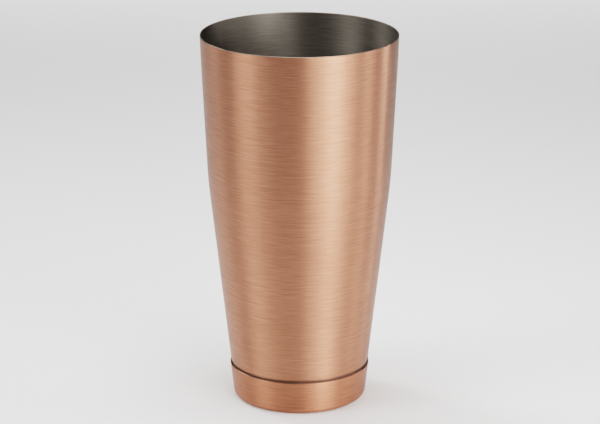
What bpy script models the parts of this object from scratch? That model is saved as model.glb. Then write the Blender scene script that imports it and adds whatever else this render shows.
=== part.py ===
"""A weighted cocktail shaker tin, built from the pieces that its base would come apart into.

A deep-drawn steel can stands in a pressed base cap. The cap's skirt lies in a shallow seat swaged into
the can, where a bead seals the joint. Between the two floors the cap hides a ballast disc, with a damping
pad on it that fits the recess under the can's floor. Every piece is turned about +Z. The origin is the
centre of the foot ring, where the tin stands.

Run it with: blender --background --python part.py
"""

import math
from collections import namedtuple

import bmesh
import bpy

MM = 0.001

# The can: its outside, measured down from the rim.
HEIGHT = 176.5 * MM
RIM_RADIUS = 46.1 * MM
CAN_WALL = 0.6 * MM
RIM_LEAN = math.radians(1.1)
UPPER_LEAN = math.radians(2.8)
LOWER_LEAN = math.radians(6.5)
RIM_BAND = 14.0 * MM
SHOULDER_TOP = 115.5 * MM
SHOULDER_BOTTOM = 98.0 * MM
CAN_CORNER = 5.0 * MM
CAN_UNDERSIDE = 9.0 * MM
CAN_PANEL_RADIUS = 22.0 * MM
CAN_PANEL_RISE = 0.8 * MM

# The seat for the cap: a small step into the can's wall.
SEAT_TOP = 18.2 * MM
SEAT_DEPTH = 0.45 * MM
SEAT_OUTER_BEND = 1.2 * MM
SEAT_INNER_BEND = 0.3 * MM

# The base cap.
CAP_TOP = 16.3 * MM
CAP_WALL = 0.7 * MM
CAP_CORNER = 3.2 * MM
FOOT_RING_WIDTH = 3.0 * MM
CAP_PANEL_RISE = 1.0 * MM
PANEL_STEP_LEAN = math.radians(135.0)

# What lies between the can and the cap.
BALLAST_RADIUS = 23.0 * MM
BALLAST_THICKNESS = 5.0 * MM
BALLAST_CHAMFER = 0.5 * MM
PAD_RADIUS = 18.0 * MM
PAD_EDGE = 0.3 * MM
BEAD_HEIGHT = 0.6 * MM

# Shared by all pieces.
GAP = 0.3 * MM
BEAD_GAP = 0.15 * MM
LIP_ROUND = 0.15 * MM
FLAT = math.radians(90.0)
SEGMENTS = 64
MERGE_DISTANCE = 1e-7
SHARP_ANGLE = math.radians(30.0)

# One place on the outside of a turned wall. The lean is how far the wall slopes inwards on its way
# down: 0 is a vertical wall, and 90 degrees is a floor that runs in towards the axis.
Station = namedtuple("Station", "radius height lean")


def outward(station, distance):
    """The station's point, moved along the wall's outward normal, on a wall parallel to the first."""
    return Station(
        station.radius + distance * math.cos(station.lean),
        station.height - distance * math.sin(station.lean),
        station.lean,
    )


def parallel(stations, distance):
    return [outward(station, distance) for station in stations]


def run_down_to(stations, height):
    """Adds a straight wall, at the lean it has, down to a height."""
    last = stations[-1]
    drop = last.height - height
    stations.append(Station(last.radius - drop * math.tan(last.lean), height, last.lean))


def run_in_to(stations, radius):
    """Adds a flat floor in to a radius."""
    stations.append(stations[-1]._replace(radius=radius))


def bend(stations, lean, radius, steps):
    """Adds an arc of that radius which turns the wall to a new lean."""
    first = stations[-1]
    signed_radius = math.copysign(radius, lean - first.lean)
    centre = outward(first, -signed_radius)
    for step in range(1, steps + 1):
        turned = first.lean + (lean - first.lean) * step / steps
        stations.append(outward(centre._replace(lean=turned), signed_radius))


def bend_over_drop(stations, lean, drop, steps):
    """Adds the arc that turns the wall to a new lean while it falls by a drop."""
    first = stations[-1]
    bend(stations, lean, drop / abs(math.sin(lean) - math.sin(first.lean)), steps)


def step_up(stations, rise, lean, steps):
    """Adds an S-bend that lifts a floor by a rise, on two equal arcs that meet at a lean."""
    radius = rise / 2 / (1 - math.cos(lean - FLAT))
    bend(stations, lean, radius, steps)
    bend(stations, FLAT, radius, steps)


def lip(outer, inner, crest, steps=2):
    """The points over a sheet's rounded top edge, from its inner side to its outer side."""
    points = []
    for side, centre_radius in ((-1, inner.radius + LIP_ROUND), (1, outer.radius - LIP_ROUND)):
        for step in range(steps + 1):
            share = step / steps if side > 0 else 1 - step / steps
            angle = share * FLAT
            across = side * LIP_ROUND * math.sin(angle)
            points.append((centre_radius + across, crest - LIP_ROUND + LIP_ROUND * math.cos(angle)))
    return points


def sheet_section(stations, thickness, crest):
    """The section of a cup pressed from sheet, from the axis up its outside and down its inside."""
    inner = parallel(stations, -thickness)
    outside = [(s.radius, s.height) for s in reversed(stations)]
    inside = [(s.radius, s.height) for s in inner]
    over_the_lip = lip(stations[0], inner[0], crest)
    return outside[:-1] + over_the_lip[::-1] + inside[1:]


def can_wall():
    """The can's outside from the rim down to where its seat begins."""
    stations = [Station(RIM_RADIUS, HEIGHT - LIP_ROUND, RIM_LEAN)]
    bend_over_drop(stations, UPPER_LEAN, RIM_BAND, steps=2)
    run_down_to(stations, SHOULDER_TOP)
    bend_over_drop(stations, LOWER_LEAN, SHOULDER_TOP - SHOULDER_BOTTOM, steps=4)
    run_down_to(stations, SEAT_TOP)
    return stations


def can_stations():
    """The whole outside of the can: its wall, the seat for the cap, the corner and the raised floor."""
    stations = can_wall()
    bends = SEAT_OUTER_BEND + SEAT_INNER_BEND
    seat_lean = LOWER_LEAN + math.acos(1 - SEAT_DEPTH / bends)
    bend(stations, seat_lean, SEAT_OUTER_BEND, steps=3)
    bend(stations, LOWER_LEAN, SEAT_INNER_BEND, steps=2)
    run_down_to(stations, CAN_UNDERSIDE + CAN_CORNER * (1 - math.sin(LOWER_LEAN)))
    bend(stations, FLAT, CAN_CORNER, steps=5)
    run_in_to(stations, CAN_PANEL_RADIUS)
    step_up(stations, CAN_PANEL_RISE, math.radians(120.0), steps=2)
    run_in_to(stations, 0.0)
    return stations


def beside_the_seat(height, distance):
    """The place at that height whose distance out from the seat's wall is given."""
    stations = [outward(can_wall()[-1], distance - SEAT_DEPTH)]
    run_down_to(stations, height)
    return stations[-1]


def cap_stations():
    """The outside of the base cap: a skirt that lies in the can's seat, the corner and the foot ring."""
    stations = [beside_the_seat(CAP_TOP - LIP_ROUND, GAP + CAP_WALL)]
    run_down_to(stations, CAP_CORNER * (1 - math.sin(LOWER_LEAN)))
    bend(stations, FLAT, CAP_CORNER, steps=5)
    run_in_to(stations, stations[-1].radius - FOOT_RING_WIDTH)
    step_up(stations, CAP_PANEL_RISE, PANEL_STEP_LEAN, steps=3)
    run_in_to(stations, 0.0)
    return stations


def disc_section(radius, bottom, top, chamfer):
    """The section of a flat disc with both its edges broken, from the axis below to the axis above."""
    return [
        (0.0, bottom),
        (radius - chamfer, bottom),
        (radius, bottom + chamfer),
        (radius, top - chamfer),
        (radius - chamfer, top),
        (0.0, top),
    ]


def bead_section(sides=8):
    """The closed oval section of the sealing bead: it fills the seat above the cap, up to the wall's line."""
    height = CAP_TOP + BEAD_GAP + BEAD_HEIGHT / 2
    width = SEAT_DEPTH - BEAD_GAP
    centre = beside_the_seat(height, BEAD_GAP + width / 2)
    points = []
    for side in range(sides):
        angle = 2 * math.pi * side / sides
        across = width / 2 * math.cos(angle)
        along = BEAD_HEIGHT / 2 * math.sin(angle)
        points.append((centre.radius + across, centre.height + along))
    return points


def metal(name, colour, roughness, metallic):
    """A Principled material. The colour is linear."""
    material = bpy.data.materials.new(name)
    material.use_nodes = True
    shader = material.node_tree.nodes["Principled BSDF"]
    shader.inputs["Base Color"].default_value = (*colour, 1.0)
    shader.inputs["Roughness"].default_value = roughness
    shader.inputs["Metallic"].default_value = metallic
    material.diffuse_color = (*colour, 1.0)
    return material


def turned_piece(name, section, material, is_ring=False):
    """Turns a section, given as (radius, height) points, a full circle about +Z."""
    shape = bmesh.new()
    points = [shape.verts.new((radius, 0.0, height)) for radius, height in section]
    pairs = list(zip(points, points[1:]))
    if is_ring:
        pairs.append((points[-1], points[0]))
    edges = [shape.edges.new(pair) for pair in pairs]
    bmesh.ops.spin(
        shape,
        geom=points + edges,
        axis=(0.0, 0.0, 1.0),
        cent=(0.0, 0.0, 0.0),
        angle=2 * math.pi,
        steps=SEGMENTS,
        use_merge=True,
    )
    bmesh.ops.remove_doubles(shape, verts=shape.verts, dist=MERGE_DISTANCE)
    bmesh.ops.recalc_face_normals(shape, faces=shape.faces)
    mesh = bpy.data.meshes.new(name)
    shape.to_mesh(mesh)
    shape.free()
    mesh.shade_smooth()
    mesh.set_sharp_from_angle(angle=SHARP_ANGLE)
    mesh.materials.append(material)
    piece = bpy.data.objects.new(name, mesh)
    bpy.context.scene.collection.objects.link(piece)
    return piece


def build():
    copper = metal("antique_copper_plate", (0.46, 0.21, 0.12), roughness=0.35, metallic=1.0)
    ballast_steel = metal("zinc_plated_steel", (0.42, 0.43, 0.45), roughness=0.45, metallic=1.0)
    rubber = metal("black_rubber", (0.03, 0.03, 0.03), roughness=0.8, metallic=0.0)
    sealant = metal("dark_sealant", (0.06, 0.035, 0.02), roughness=0.55, metallic=0.0)

    ballast_bottom = CAP_PANEL_RISE + CAP_WALL + GAP
    ballast_top = ballast_bottom + BALLAST_THICKNESS
    pad_bottom = ballast_top + GAP
    pad_top = CAN_UNDERSIDE + CAN_PANEL_RISE - GAP

    turned_piece("shaker_can", sheet_section(can_stations(), CAN_WALL, HEIGHT), copper)
    turned_piece("base_cap", sheet_section(cap_stations(), CAP_WALL, CAP_TOP), copper)
    turned_piece("seam_bead", bead_section(), sealant, is_ring=True)
    turned_piece(
        "ballast_disc",
        disc_section(BALLAST_RADIUS, ballast_bottom, ballast_top, BALLAST_CHAMFER),
        ballast_steel,
    )
    turned_piece("damping_pad", disc_section(PAD_RADIUS, pad_bottom, pad_top, PAD_EDGE), rubber)


for leftover in list(bpy.data.objects):
    bpy.data.objects.remove(leftover)
build()
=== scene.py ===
"""The looks of the copper-plated shaker tin: fine turned meshes, brushed metal, a studio and a camera.

The CAD model sets every size. The can, the base cap and the bead between them are turned again here with
fine, rounded sections that follow the CAD's outline. The pieces sealed in the base keep their CAD shapes.
"""

import math
from collections import namedtuple

import bpy
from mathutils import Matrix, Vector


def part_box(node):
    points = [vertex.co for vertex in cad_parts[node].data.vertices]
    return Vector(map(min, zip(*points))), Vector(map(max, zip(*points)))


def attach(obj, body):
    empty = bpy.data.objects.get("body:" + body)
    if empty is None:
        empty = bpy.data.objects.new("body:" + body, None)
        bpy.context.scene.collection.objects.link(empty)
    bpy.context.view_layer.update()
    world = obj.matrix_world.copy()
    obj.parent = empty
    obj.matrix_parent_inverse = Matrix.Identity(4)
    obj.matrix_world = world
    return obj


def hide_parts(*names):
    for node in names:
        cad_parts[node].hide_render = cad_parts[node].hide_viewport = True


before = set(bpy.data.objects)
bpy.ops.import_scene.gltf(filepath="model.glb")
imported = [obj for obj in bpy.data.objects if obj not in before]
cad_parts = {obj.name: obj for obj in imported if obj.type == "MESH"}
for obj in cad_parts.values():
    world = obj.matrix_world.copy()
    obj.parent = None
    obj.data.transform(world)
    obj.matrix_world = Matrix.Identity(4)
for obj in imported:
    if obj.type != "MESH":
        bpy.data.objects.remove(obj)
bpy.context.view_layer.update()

MM = 0.001
QUARTER_TURN = math.radians(90.0)

# Sizes that the frame gives.
CAN_LOW, CAN_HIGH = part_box("shaker_can")
CAP_LOW, CAP_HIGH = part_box("base_cap")
HEIGHT = CAN_HIGH.z
RIM_RADIUS = CAN_HIGH.x
CAN_UNDERSIDE = CAN_LOW.z
CAP_TOP = CAP_HIGH.z

# The can's outline, as in the CAD.
CAN_WALL = 0.6 * MM
RIM_LEAN = math.radians(1.1)
UPPER_LEAN = math.radians(2.8)
LOWER_LEAN = math.radians(6.5)
RIM_BAND = 14.0 * MM
SHOULDER_TOP = 115.5 * MM
SHOULDER_BOTTOM = 98.0 * MM
CAN_CORNER = 5.0 * MM
CAN_PANEL_RADIUS = 22.0 * MM
CAN_PANEL_RISE = 0.8 * MM
CAN_STEP_LEAN = math.radians(120.0)
SEAT_TOP = 18.2 * MM
SEAT_DEPTH = 0.45 * MM
SEAT_OUTER_BEND = 1.2 * MM
SEAT_INNER_BEND = 0.3 * MM

# The cap's outline, as in the CAD.
CAP_WALL = 0.7 * MM
CAP_CORNER = 3.2 * MM
FOOT_RING_WIDTH = 3.0 * MM
CAP_PANEL_RISE = 1.0 * MM
CAP_STEP_LEAN = math.radians(135.0)
SKIRT_GAP = 0.3 * MM

# The bead, as in the CAD.
BEAD_GAP = 0.15 * MM
BEAD_HEIGHT = 0.6 * MM

# The rounding of the two top edges.
RIM_ROUND = 0.28 * MM
CAP_EDGE_ROUND = 0.25 * MM

# How finely the sections are drawn and turned.
SEGMENTS = 256
ARC_STEP = math.radians(4.0)
ROW_HEIGHT = 3.0 * MM
FEWEST_BEND_STEPS = 2
EDGE_STEPS = 8
BEAD_SIDES = 16
SMALLEST_RADIUS = 1e-9  # below it a point is on the axis

# One place on the outside of a turned wall. The lean is how far the wall slopes inwards on its way
# down: 0 is a vertical wall, and FLAT is a floor that runs in towards the axis.
Station = namedtuple("Station", "radius height lean")
FLAT = QUARTER_TURN


def outward(station, distance):
    """The station's point, moved along the wall's outward normal."""
    return Station(
        station.radius + distance * math.cos(station.lean),
        station.height - distance * math.sin(station.lean),
        station.lean,
    )


def run_down_to(stations, height):
    """Adds a straight wall, at the lean it has, down to a height, in short rows."""
    first = stations[-1]
    drop = first.height - height
    rows = max(1, math.ceil(drop / ROW_HEIGHT))
    for row in range(1, rows + 1):
        fallen = drop * row / rows
        stations.append(
            Station(first.radius - fallen * math.tan(first.lean), first.height - fallen, first.lean)
        )


def run_in_to(stations, radius):
    """Adds a flat floor in to a radius, in short rows."""
    first = stations[-1]
    rows = max(1, math.ceil((first.radius - radius) / ROW_HEIGHT))
    for row in range(1, rows + 1):
        share = row / rows
        stations.append(first._replace(radius=first.radius + (radius - first.radius) * share))


def bend(stations, lean, radius):
    """Adds an arc of that radius which turns the wall to a new lean."""
    first = stations[-1]
    turn = lean - first.lean
    signed_radius = math.copysign(radius, turn)
    centre = outward(first, -signed_radius)
    steps = max(
        FEWEST_BEND_STEPS,
        math.ceil(abs(turn) / ARC_STEP),
        math.ceil(abs(turn) * radius / ROW_HEIGHT),
    )
    for step in range(1, steps + 1):
        stations.append(outward(centre._replace(lean=first.lean + turn * step / steps), signed_radius))


def bend_over_drop(stations, lean, drop):
    """Adds the arc that turns the wall to a new lean while it falls by a drop."""
    first = stations[-1]
    bend(stations, lean, drop / abs(math.sin(lean) - math.sin(first.lean)))


def step_up(stations, rise, lean):
    """Adds an S-bend that lifts a floor by a rise, on two equal arcs that meet at a lean."""
    radius = rise / 2 / (1 - math.cos(lean - FLAT))
    bend(stations, lean, radius)
    bend(stations, FLAT, radius)


def can_wall():
    """The can's outside from just under its rounded rim down to where the seat for the cap begins."""
    stations = [Station(RIM_RADIUS, HEIGHT - RIM_ROUND, RIM_LEAN)]
    bend_over_drop(stations, UPPER_LEAN, RIM_BAND)
    run_down_to(stations, SHOULDER_TOP)
    bend_over_drop(stations, LOWER_LEAN, SHOULDER_TOP - SHOULDER_BOTTOM)
    run_down_to(stations, SEAT_TOP)
    return stations


def can_stations():
    """The whole outside of the can: its wall, the seat for the cap, the corner and the raised floor."""
    stations = can_wall()
    bends = SEAT_OUTER_BEND + SEAT_INNER_BEND
    bend(stations, LOWER_LEAN + math.acos(1 - SEAT_DEPTH / bends), SEAT_OUTER_BEND)
    bend(stations, LOWER_LEAN, SEAT_INNER_BEND)
    run_down_to(stations, CAN_UNDERSIDE + CAN_CORNER * (1 - math.sin(LOWER_LEAN)))
    bend(stations, FLAT, CAN_CORNER)
    run_in_to(stations, CAN_PANEL_RADIUS)
    step_up(stations, CAN_PANEL_RISE, CAN_STEP_LEAN)
    run_in_to(stations, 0.0)
    return stations


def beside_the_seat(height, distance):
    """The place at that height whose distance out from the seat's wall is given."""
    stations = [outward(can_wall()[-1], distance - SEAT_DEPTH)]
    run_down_to(stations, height)
    return stations[-1]


def cap_stations():
    """The outside of the base cap: its skirt, the corner, the foot ring and the raised panel."""
    stations = [beside_the_seat(CAP_TOP - CAP_EDGE_ROUND, SKIRT_GAP + CAP_WALL)]
    run_down_to(stations, CAP_CORNER * (1 - math.sin(LOWER_LEAN)))
    bend(stations, FLAT, CAP_CORNER)
    run_in_to(stations, stations[-1].radius - FOOT_RING_WIDTH)
    step_up(stations, CAP_PANEL_RISE, CAP_STEP_LEAN)
    run_in_to(stations, 0.0)
    return stations


def rounded_edge(outer, inner, crest, radius):
    """The points over a sheet's top edge, from its outer side to its inner side."""
    points = []
    for side, centre in ((1, outer.radius - radius), (-1, inner.radius + radius)):
        for step in range(EDGE_STEPS + 1):
            share = step / EDGE_STEPS if side > 0 else 1 - step / EDGE_STEPS
            angle = (1 - share) * QUARTER_TURN
            across = side * radius * math.sin(angle)
            points.append((centre + across, crest - radius + radius * math.cos(angle)))
    return points


# A section is a list of (radius, height, slot) points. The slot is the number of the material on the
# strip that follows the point.
OUTSIDE, EDGE, INSIDE = range(3)


def sheet_section(stations, thickness, crest, edge_round):
    """The section of a cup pressed from sheet, from the axis up its outside and down its inside."""
    inner = [outward(station, -thickness) for station in stations]
    outside = [(s.radius, s.height, OUTSIDE) for s in reversed(stations[1:])]
    edge = [(r, z, EDGE) for r, z in rounded_edge(stations[0], inner[0], crest, edge_round)]
    inside = [(s.radius, s.height, INSIDE) for s in inner[1:]]
    edge[-1] = (*edge[-1][:2], INSIDE)
    return outside + edge + inside


def turned_piece(name, section, materials, is_ring=False):
    """Turns a section a full circle about +Z into one closed, smooth mesh."""
    rings, verts = [], []
    for radius, height, _ in section:
        if radius < SMALLEST_RADIUS:
            rings.append([len(verts)])
            verts.append((0.0, 0.0, height))
            continue
        rings.append([len(verts) + i for i in range(SEGMENTS)])
        for i in range(SEGMENTS):
            angle = 2 * math.pi * i / SEGMENTS
            verts.append((radius * math.cos(angle), radius * math.sin(angle), height))
    strips = list(zip(rings, rings[1:], section))
    if is_ring:
        strips.append((rings[-1], rings[0], section[-1]))
    faces, slots = [], []
    for lower, upper, (_, _, slot) in strips:
        for i in range(SEGMENTS):
            j = (i + 1) % SEGMENTS
            corners = [
                lower[i % len(lower)],
                lower[j % len(lower)],
                upper[j % len(upper)],
                upper[i % len(upper)],
            ]
            # A ring on the axis is one vertex, so a face there is a triangle.
            faces.append(list(dict.fromkeys(corners)))
            slots.append(slot)
    mesh = bpy.data.meshes.new(name)
    mesh.from_pydata(verts, [], faces)
    for material in materials:
        mesh.materials.append(material)
    mesh.polygons.foreach_set("material_index", slots)
    mesh.shade_smooth()
    mesh.validate()
    mesh.update()
    piece = bpy.data.objects.new(name, mesh)
    bpy.context.scene.collection.objects.link(piece)
    return piece


def bead_section():
    """The bead's closed oval section. It fills the seat above the cap, up to the line of the wall."""
    height = CAP_TOP + BEAD_GAP + BEAD_HEIGHT / 2
    width = SEAT_DEPTH - BEAD_GAP
    centre = beside_the_seat(height, BEAD_GAP + width / 2)
    points = []
    for side in range(BEAD_SIDES):
        angle = 2 * math.pi * side / BEAD_SIDES
        across = width / 2 * math.cos(angle)
        along = BEAD_HEIGHT / 2 * math.sin(angle)
        points.append((centre.radius + across, centre.height + along, OUTSIDE))
    return points


class Nodes:
    """A short way to write a material's nodes."""

    def __init__(self, name):
        self.material = bpy.data.materials.new(name)
        self.material.use_nodes = True
        self.tree = self.material.node_tree
        self.shader = self.tree.nodes["Principled BSDF"]

    def add(self, kind, **settings):
        node = self.tree.nodes.new(kind)
        for key, value in settings.items():
            setattr(node, key, value)
        return node

    def feed(self, socket, value):
        """Sets a socket to a number or a colour, or links it to another node's output."""
        if isinstance(value, bpy.types.NodeSocket):
            self.tree.links.new(value, socket)
        else:
            socket.default_value = value

    def math(self, operation, first, second=0.0, third=0.0):
        node = self.add("ShaderNodeMath", operation=operation)
        for socket, value in zip(node.inputs, (first, second, third)):
            self.feed(socket, value)
        return node.outputs[0]

    def place(self):
        """Where a point is on the piece, in metres."""
        return self.add("ShaderNodeTexCoord").outputs["Object"]

    def noise(self, vector, scale, detail, roughness=0.5):
        node = self.add("ShaderNodeTexNoise")
        self.feed(node.inputs["Vector"], vector)
        node.inputs["Scale"].default_value = scale
        node.inputs["Detail"].default_value = detail
        node.inputs["Roughness"].default_value = roughness
        return node.outputs["Fac"]

    def blend(self, share, first, second):
        node = self.add("ShaderNodeMix", data_type="RGBA")
        self.feed(node.inputs["Factor"], share)
        self.feed(node.inputs["A"], first)
        self.feed(node.inputs["B"], second)
        return node.outputs["Result"]

    def bump(self, height, strength, distance):
        node = self.add("ShaderNodeBump")
        node.inputs["Strength"].default_value = strength
        node.inputs["Distance"].default_value = distance
        self.feed(node.inputs["Height"], height)
        self.feed(self.shader.inputs["Normal"], node.outputs[0])


def colour(red, green, blue):
    return (red, green, blue, 1.0)


# The lines that a brush leaves on a turning piece: how long and wide they are, how fine their noise is,
# and how much they change the metal's tone, roughness and height.
BrushLines = namedtuple("BrushLines", "length width detail tone wear height")
SCRATCHES = BrushLines(9 * MM, 0.34 * MM, 1.5, 1.2, -0.10, 0.6)
STROKES = BrushLines(40 * MM, 0.85 * MM, 3.0, 0.4, -0.08, 0.4)
LINE_ROUGHNESS = 0.6
CLOUD_SIZE = 30 * MM
CLOUD_DETAIL = 2.0
CLOUD_WEAR = 0.05
METAL_BUMP = 0.5
GROOVE_DEPTH = 0.01 * MM

# Highlights are drawn out across the grooves: this many turns away from the circle round +Z.
HIGHLIGHT_TURN = 0.25

# The dull materials: how fine their grain is, and how much it changes the roughness and the height.
GRAIN_DETAIL = 3.0
GRAIN_WEAR = 0.2
GRAIN_BUMP = 0.4
GRAIN_DEPTH = 0.05 * MM


def brush_noise(nodes, lines):
    """Noise drawn out along circles round +Z. Across them it counts the radius plus the height."""
    split = nodes.add("ShaderNodeSeparateXYZ")
    nodes.feed(split.inputs[0], nodes.place())
    x, y, z = split.outputs
    square = nodes.math("ADD", nodes.math("MULTIPLY", x, x), nodes.math("MULTIPLY", y, y))
    across = nodes.math("ADD", nodes.math("SQRT", square), z)
    joined = nodes.add("ShaderNodeCombineXYZ")
    for socket, value, size in zip(joined.inputs, (x, y, across), (lines.length, lines.length, lines.width)):
        nodes.feed(socket, nodes.math("DIVIDE", value, size))
    return nodes.noise(joined.outputs[0], 1.0, lines.detail, LINE_ROUGHNESS)


def mixed(nodes, *shares):
    """Adds up noises about their middle: each share is a noise and its weight."""
    total = None
    for noise, weight in shares:
        part = nodes.math("MULTIPLY_ADD", noise, weight, -weight / 2)
        total = part if total is None else nodes.math("ADD", total, part)
    return total


def brushed_metal(name, dull, bright, roughness, anisotropic, line_contrast, cloud_contrast):
    """Metal with grooves that run round the piece, so that highlights are drawn out up and down."""
    nodes = Nodes(name)
    shader = nodes.shader
    shader.inputs["Metallic"].default_value = 1.0
    shader.inputs["Anisotropic"].default_value = anisotropic
    shader.inputs["Anisotropic Rotation"].default_value = HIGHLIGHT_TURN
    round_the_axis = nodes.add("ShaderNodeTangent", direction_type="RADIAL", axis="Z")
    nodes.feed(shader.inputs["Tangent"], round_the_axis.outputs[0])

    scratches = brush_noise(nodes, SCRATCHES)
    strokes = brush_noise(nodes, STROKES)
    clouds = nodes.noise(nodes.place(), 1 / CLOUD_SIZE, CLOUD_DETAIL)
    tone = mixed(
        nodes,
        (scratches, SCRATCHES.tone * line_contrast),
        (strokes, STROKES.tone * line_contrast),
        (clouds, cloud_contrast),
    )
    share = nodes.math("ADD", tone, 0.5)
    nodes.feed(shader.inputs["Base Color"], nodes.blend(share, dull, bright))
    wear = mixed(nodes, (scratches, SCRATCHES.wear), (strokes, STROKES.wear), (clouds, CLOUD_WEAR))
    nodes.feed(shader.inputs["Roughness"], nodes.math("ADD", wear, roughness))
    height = mixed(nodes, (scratches, SCRATCHES.height), (strokes, STROKES.height))
    nodes.bump(height, METAL_BUMP, GROOVE_DEPTH)
    return nodes.material


def moulded(name, dark, light, roughness, grain_size):
    """A dull material with a fine grain."""
    nodes = Nodes(name)
    grain = nodes.noise(nodes.place(), 1 / grain_size, GRAIN_DETAIL)
    nodes.feed(nodes.shader.inputs["Base Color"], nodes.blend(grain, dark, light))
    wear = nodes.math("MULTIPLY_ADD", grain, GRAIN_WEAR, roughness - GRAIN_WEAR / 2)
    nodes.feed(nodes.shader.inputs["Roughness"], wear)
    nodes.bump(grain, GRAIN_BUMP, GRAIN_DEPTH)
    return nodes.material


# The cap's copper is a touch redder than the can's. The bare edge is the lip, where the plating is thin.
antique_copper = brushed_metal(
    "antique_copper",
    dull=colour(0.335, 0.150, 0.091),
    bright=colour(0.525, 0.259, 0.174),
    roughness=0.42,
    anisotropic=0.9,
    line_contrast=1.15,
    cloud_contrast=0.25,
)
cap_copper = brushed_metal(
    "cap_copper",
    dull=colour(0.338, 0.140, 0.081),
    bright=colour(0.530, 0.242, 0.155),
    roughness=0.42,
    anisotropic=0.9,
    line_contrast=1.15,
    cloud_contrast=0.25,
)
bare_edge = brushed_metal(
    "bare_edge",
    dull=colour(0.155, 0.118, 0.092),
    bright=colour(0.240, 0.187, 0.150),
    roughness=0.40,
    anisotropic=0.5,
    line_contrast=0.6,
    cloud_contrast=0.4,
)
satin_steel = brushed_metal(
    "satin_steel",
    dull=colour(0.123, 0.110, 0.095),
    bright=colour(0.190, 0.171, 0.149),
    roughness=0.58,
    anisotropic=0.82,
    line_contrast=1.25,
    cloud_contrast=0.5,
)
zinc_plate = brushed_metal(
    "zinc_plate",
    dull=colour(0.34, 0.35, 0.37),
    bright=colour(0.50, 0.51, 0.53),
    roughness=0.45,
    anisotropic=0.9,
    line_contrast=0.8,
    cloud_contrast=0.5,
)
# Near-black bead in the seam between can and cap: painted shade of the crevice there, together with the dark
# oxide that sits in it.
dark_sealant = moulded(
    "dark_sealant",
    dark=colour(0.03, 0.018, 0.011),
    light=colour(0.08, 0.05, 0.032),
    roughness=0.6,
    grain_size=0.4 * MM,
)
black_rubber = moulded(
    "black_rubber",
    dark=colour(0.02, 0.02, 0.02),
    light=colour(0.045, 0.045, 0.045),
    roughness=0.8,
    grain_size=0.5 * MM,
)

can = turned_piece(
    "can_shell",
    sheet_section(can_stations(), CAN_WALL, HEIGHT, RIM_ROUND),
    [antique_copper, bare_edge, satin_steel],
)
cap = turned_piece(
    "base_cap_shell",
    sheet_section(cap_stations(), CAP_WALL, CAP_TOP, CAP_EDGE_ROUND),
    [cap_copper, cap_copper, satin_steel],
)
# The bead's near-black colour is partly painted shade of the crevice and partly dark oxide in the seam.
bead = turned_piece("seam_bead_ring", bead_section(), [dark_sealant], is_ring=True)
for piece, node, slot in (
    (can, "shaker_can", "antique_copper_plate"),
    (cap, "base_cap", "antique_copper_plate"),
    (bead, "seam_bead", "dark_sealant"),
):
    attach(piece, "root")
    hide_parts(node)

# The two pieces that are sealed in the base keep their CAD shapes.
for node, material in (("ballast_disc", zinc_plate), ("damping_pad", black_rubber)):
    bpy.data.objects[node].material_slots[0].material = material

# The camera: a long lens, a little above the tin, at the photo's viewing angle.
AIM = (0.00024, 0.0, 0.0903)
DISTANCE = 1.182
ELEVATION = math.radians(17.28)
FOCAL_LENGTH = 150.24
camera_data = bpy.data.cameras.new("camera")
camera_data.lens = FOCAL_LENGTH
camera = bpy.data.objects.new("camera", camera_data)
camera.location = (
    AIM[0],
    AIM[1] - DISTANCE * math.cos(ELEVATION),
    AIM[2] + DISTANCE * math.sin(ELEVATION),
)
camera.rotation_euler = (QUARTER_TURN - ELEVATION, 0.0, 0.0)
bpy.context.scene.collection.objects.link(camera)
bpy.context.scene.camera = camera

# The floor: a pale, matt plane, in metres.
FLOOR_REACH = 8.0
FLOOR_SHADE = 0.80
FLOOR_ROUGHNESS = 0.9
floor_mesh = bpy.data.meshes.new("floor")
floor_corners = [
    (-FLOOR_REACH, -FLOOR_REACH, 0.0),
    (FLOOR_REACH, -FLOOR_REACH, 0.0),
    (FLOOR_REACH, FLOOR_REACH, 0.0),
    (-FLOOR_REACH, FLOOR_REACH, 0.0),
]
floor_mesh.from_pydata(floor_corners, [], [(0, 1, 2, 3)])
floor = bpy.data.objects.new("floor", floor_mesh)
bpy.context.scene.collection.objects.link(floor)
floor_nodes = Nodes("pale_floor")
floor_nodes.shader.inputs["Base Color"].default_value = colour(FLOOR_SHADE, FLOOR_SHADE, FLOOR_SHADE)
floor_nodes.shader.inputs["Roughness"].default_value = FLOOR_ROUGHNESS
floor_nodes.shader.inputs["Specular IOR Level"].default_value = 0.0
floor_mesh.materials.append(floor_nodes.material)

# The studio: softboxes round the tin. Azimuth 0 is the camera's side and 90 degrees is +X. Elevation and
# distance, in metres, are from the middle of the tin. A light's power is its strength times its area
# times POWER_PER_AREA.
LIT_HEIGHT = 90 * MM
POWER_PER_AREA = 4.0
Softbox = namedtuple("Softbox", "name azimuth elevation distance width height strength")

# These face the tin, with narrow beams. The two strips light the edge at its right.
SIDE_SPREAD = math.radians(70.0)
SIDE_LIGHTS = (
    Softbox("key", 38, 8, 1.2, 0.46, 0.30, 0.70),
    Softbox("key_wide", 43, 8, 1.2, 1.15, 0.30, 1.43),
    Softbox("key_high", 43, 28, 1.2, 0.90, 0.30, 0.72),
    Softbox("key_side", 15, 22, 1.2, 0.24, 0.30, 1.25),
    Softbox("left", -67, 24, 1.2, 0.54, 0.30, 1.36),
    Softbox("left_low", -45, 12, 1.2, 0.50, 0.30, 0.22),
    Softbox("left_high", -65, 62, 1.2, 0.50, 0.30, 0.35),
    Softbox("back_left", -130, 36, 1.2, 0.30, 0.30, 2.65),
    Softbox("right", 86, 9, 1.2, 0.32, 0.30, 0.69),
    Softbox("right_high", 85, 30, 1.2, 0.40, 0.30, 0.61),
    Softbox("right_strip", 113, 8, 1.2, 0.12, 0.35, 0.9),
    Softbox("near_strip", 112, 18, 0.45, 0.028, 0.12, 2.6),
)

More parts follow.
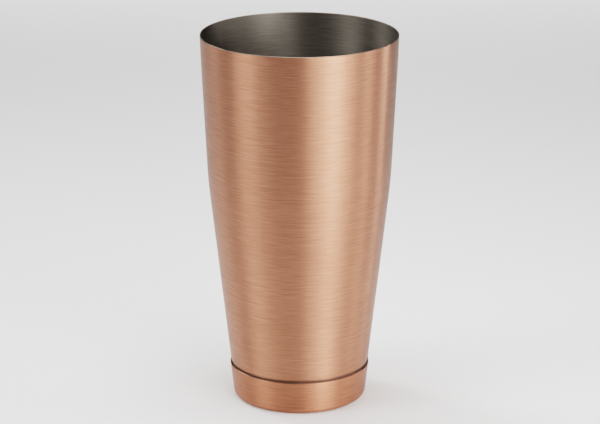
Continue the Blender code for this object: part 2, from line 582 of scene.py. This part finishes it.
# These hang over the tin, face down, and light its inside and the floor near it.
TOP_SPREAD = math.radians(180.0)
TOP_LIGHTS = (
    Softbox("overhead", 0, 90, 0.55, 0.30, 0.30, 6.2),
    Softbox("canopy", 180, 70, 0.85, 0.50, 0.50, 2.0),
)

# These face down too, and light the floor behind the tin and far round it.
BACKDROP_SPREAD = math.radians(100.0)
BACKDROP_LIGHT = Softbox("backdrop", 180, 30, 1.6, 1.80, 0.90, 1.5)
FAR_SPREAD = math.radians(120.0)
FAR_LIGHTS = tuple(
    Softbox(name, azimuth, 26, 4.4, 3.0, 3.0, strength)
    for name, azimuth, strength in (
        ("far_front", 0, 1.0),
        ("far_right", 90, 1.6),
        ("far_back", 180, 1.2),
        ("far_left", -90, 1.6),
    )
)


def place_light(softbox, spread, facing_down):
    """Makes an area light that faces the tin, or the floor."""
    azimuth, elevation = math.radians(softbox.azimuth), math.radians(softbox.elevation)
    data = bpy.data.lights.new(softbox.name, "AREA")
    data.shape = "RECTANGLE"
    data.size = softbox.width
    data.size_y = softbox.height
    data.spread = spread
    data.energy = softbox.strength * POWER_PER_AREA * softbox.width * softbox.height
    light = bpy.data.objects.new(softbox.name, data)
    light.location = (
        softbox.distance * math.cos(elevation) * math.sin(azimuth),
        -softbox.distance * math.cos(elevation) * math.cos(azimuth),
        LIT_HEIGHT + softbox.distance * math.sin(elevation),
    )
    light.rotation_euler = (0.0 if facing_down else QUARTER_TURN - elevation, 0.0, azimuth)
    light.visible_camera = False
    bpy.context.scene.collection.objects.link(light)


for softbox in SIDE_LIGHTS:
    place_light(softbox, SIDE_SPREAD, facing_down=False)
for softbox in TOP_LIGHTS:
    place_light(softbox, TOP_SPREAD, facing_down=True)
place_light(BACKDROP_LIGHT, BACKDROP_SPREAD, facing_down=True)
for softbox in FAR_LIGHTS:
    place_light(softbox, FAR_SPREAD, facing_down=True)

# A faint white glow from all round.
GLOW = 0.02
world = bpy.data.worlds.new("studio")
world.use_nodes = True
background = world.node_tree.nodes["Background"]
background.inputs["Color"].default_value = colour(1.0, 1.0, 1.0)
background.inputs["Strength"].default_value = GLOW
bpy.context.scene.world = world
bpy.context.scene.view_settings.view_transform = "Filmic"
bpy.context.scene.view_settings.look = "High Contrast"
